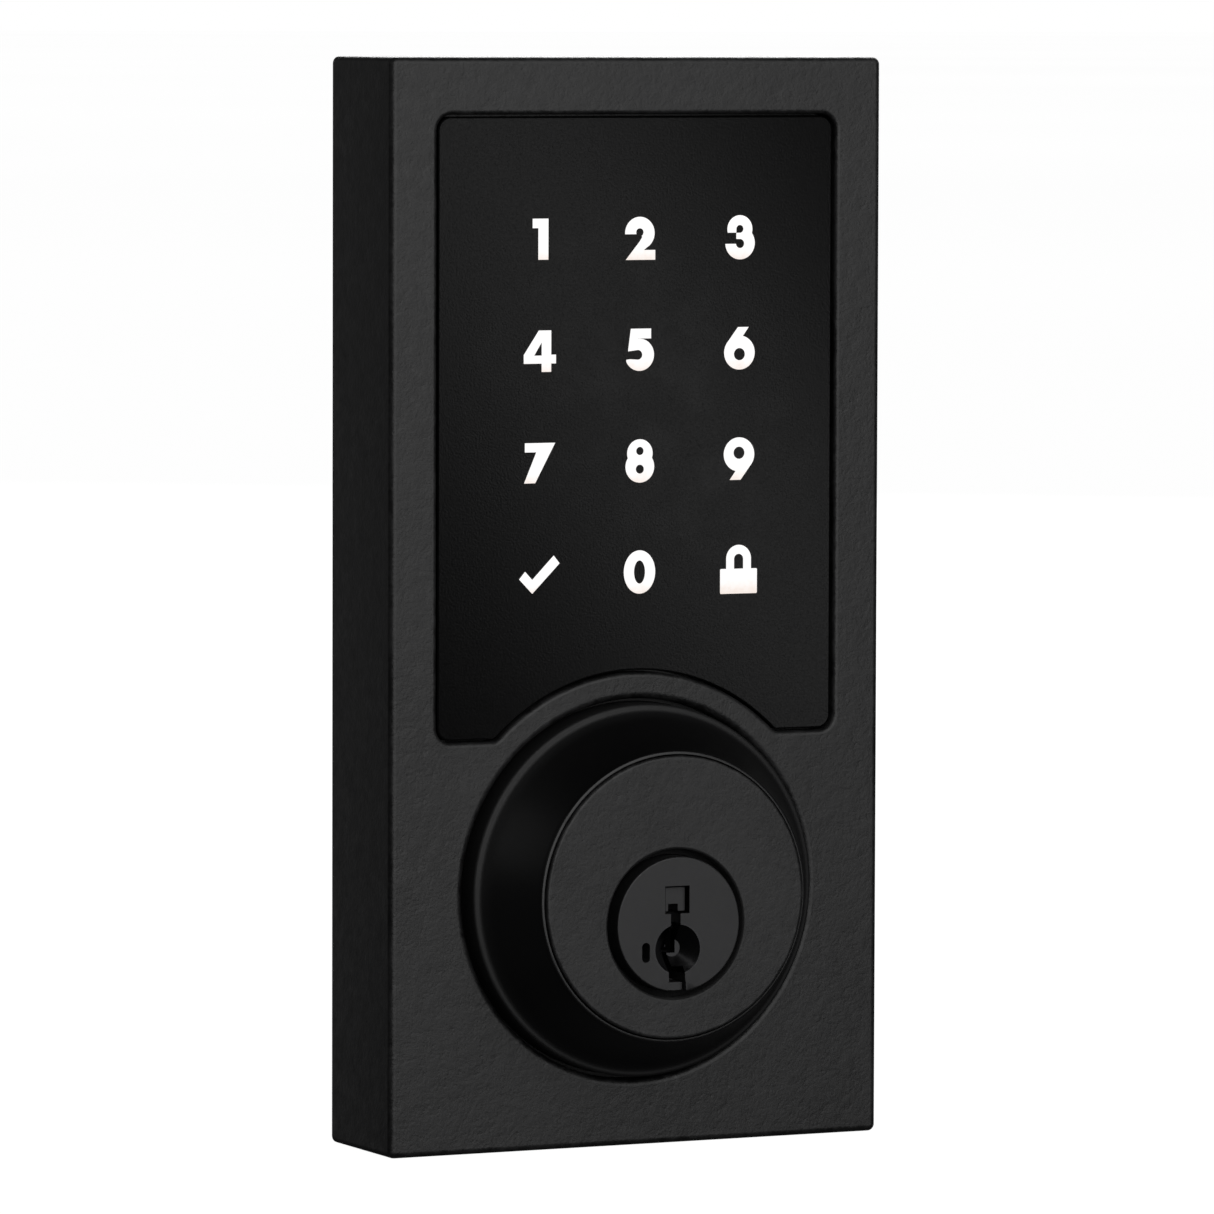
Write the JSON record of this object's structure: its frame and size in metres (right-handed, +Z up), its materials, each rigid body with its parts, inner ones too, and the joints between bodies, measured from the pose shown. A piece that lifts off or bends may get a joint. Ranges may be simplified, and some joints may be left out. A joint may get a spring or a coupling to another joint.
{
  "type": "keypad smart lock",
  "caption": "Square outdoor half of a touch-key deadbolt: black cast case, smoked touch panel with lit digits, free-spinning guard ring, keyed plug and torque blade.",
  "frame": {"origin": "the key plug's turning axis where it meets the door's face", "axes": "+Y into the door along the key axis, +Z up along the case's length, +X to the user's right"},
  "size_m": [0.069, 0.093, 0.139],
  "materials": {
    "case_coat": "matt black powder coat",
    "ring_coat": "satin black coat",
    "housing_coat": "matt black coat",
    "plug_finish": "satin black plated",
    "smoked_lens": "smoked, semi gloss",
    "lit_legend": "white, back lit",
    "tape": "foam tape",
    "white_moulding": "white moulding",
    "circuit_board": "green solder mask",
    "lamp": "phosphor lamp",
    "chip_body": "moulded epoxy",
    "header_body": "natural nylon",
    "cover_moulding": "moulded black",
    "zinc_screw": "zinc plated",
    "nylon": "natural nylon",
    "zinc_plate": "zinc plated sheet",
    "gasket_rubber": "moulded rubber",
    "turned_steel": "turned, plated",
    "hardened_steel": "hardened",
    "spring_steel": "bright",
    "brass_bar": "machined"
  },
  "bodies": {
    "lock_body": {"back_plate": "zinc_plate", "back_plate_screws": "zinc_screw", "board_chips": "chip_body", "board_cover": "cover_moulding", "cable_grommet": "gasket_rubber", "cable_header": "header_body", "case": "case_coat", "cylinder_housing": "housing_coat", "cylinder_screws": "zinc_screw", "door_gasket": "gasket_rubber", "key_leds": "lamp", "key_legends": "lit_legend", "lens_tape": "tape", "light_guide": "white_moulding", "mounting_posts": "turned_steel", "sounder": "chip_body", "stack_screws": "zinc_screw", "thrust_washer": "nylon", "touch_board": "circuit_board", "touch_lens": "smoked_lens"},
    "guard": {"guard_ring": "ring_coat"},
    "key_plug": {"plug": "plug_finish", "drill_inserts": "hardened_steel", "upper_guard_block": "hardened_steel", "lower_guard_block": "hardened_steel", "spring_cover": "spring_steel", "sidebar": "brass_bar", "sidebar_springs": "spring_steel", "plug_clip": "spring_steel", "blade_retainer": "turned_steel", "tumbler_spring_1": "spring_steel", "tumbler_spring_2": "spring_steel", "tumbler_spring_3": "spring_steel", "tumbler_spring_4": "spring_steel", "tumbler_spring_5": "spring_steel"},
    "blade": {"torque_blade": "turned_steel"},
    "tumbler_1": {"key_pin_1": "hardened_steel", "wafer_1": "brass_bar"},
    "tumbler_2": {"key_pin_2": "hardened_steel", "wafer_2": "brass_bar"},
    "tumbler_3": {"key_pin_3": "hardened_steel", "wafer_3": "brass_bar"},
    "tumbler_4": {"key_pin_4": "hardened_steel", "wafer_4": "brass_bar"},
    "tumbler_5": {"key_pin_5": "hardened_steel", "wafer_5": "brass_bar"}
  },
  "joints": [
    {"name": "guard_spin", "type": "hinge", "parent": "lock_body", "child": "guard", "pos_m": [0, -0.02, 0.00335], "axis": [0, 1, 0], "continuous": true},
    {"name": "key_turn", "type": "hinge", "parent": "lock_body", "child": "key_plug", "pos_m": [0, -0.015, 0], "axis": [0, 1, 0], "range_deg": [-90, 90]},
    {"name": "blade_turn", "type": "hinge", "parent": "key_plug", "child": "blade", "pos_m": [0, 0, 0], "axis": [0, 1, 0], "range_deg": [-90, 90]},
    {"name": "pin_lift_1", "type": "slide", "parent": "key_plug", "child": "tumbler_1", "axis": [0, 0, 1], "range_m": [0, 0.0022], "stiffness_N_per_m": 120, "springref_m": -0.004, "deforming": ["tumbler_spring_1"]},
    {"name": "pin_lift_2", "type": "slide", "parent": "key_plug", "child": "tumbler_2", "axis": [0, 0, 1], "range_m": [0, 0.0022], "stiffness_N_per_m": 120, "springref_m": -0.004, "deforming": ["tumbler_spring_2"]},
    {"name": "pin_lift_3", "type": "slide", "parent": "key_plug", "child": "tumbler_3", "axis": [0, 0, 1], "range_m": [0, 0.0022], "stiffness_N_per_m": 120, "springref_m": -0.004, "deforming": ["tumbler_spring_3"]},
    {"name": "pin_lift_4", "type": "slide", "parent": "key_plug", "child": "tumbler_4", "axis": [0, 0, 1], "range_m": [0, 0.0022], "stiffness_N_per_m": 120, "springref_m": -0.004, "deforming": ["tumbler_spring_4"]},
    {"name": "pin_lift_5", "type": "slide", "parent": "key_plug", "child": "tumbler_5", "axis": [0, 0, 1], "range_m": [0, 0.0022], "stiffness_N_per_m": 120, "springref_m": -0.004, "deforming": ["tumbler_spring_5"]}
  ]
}
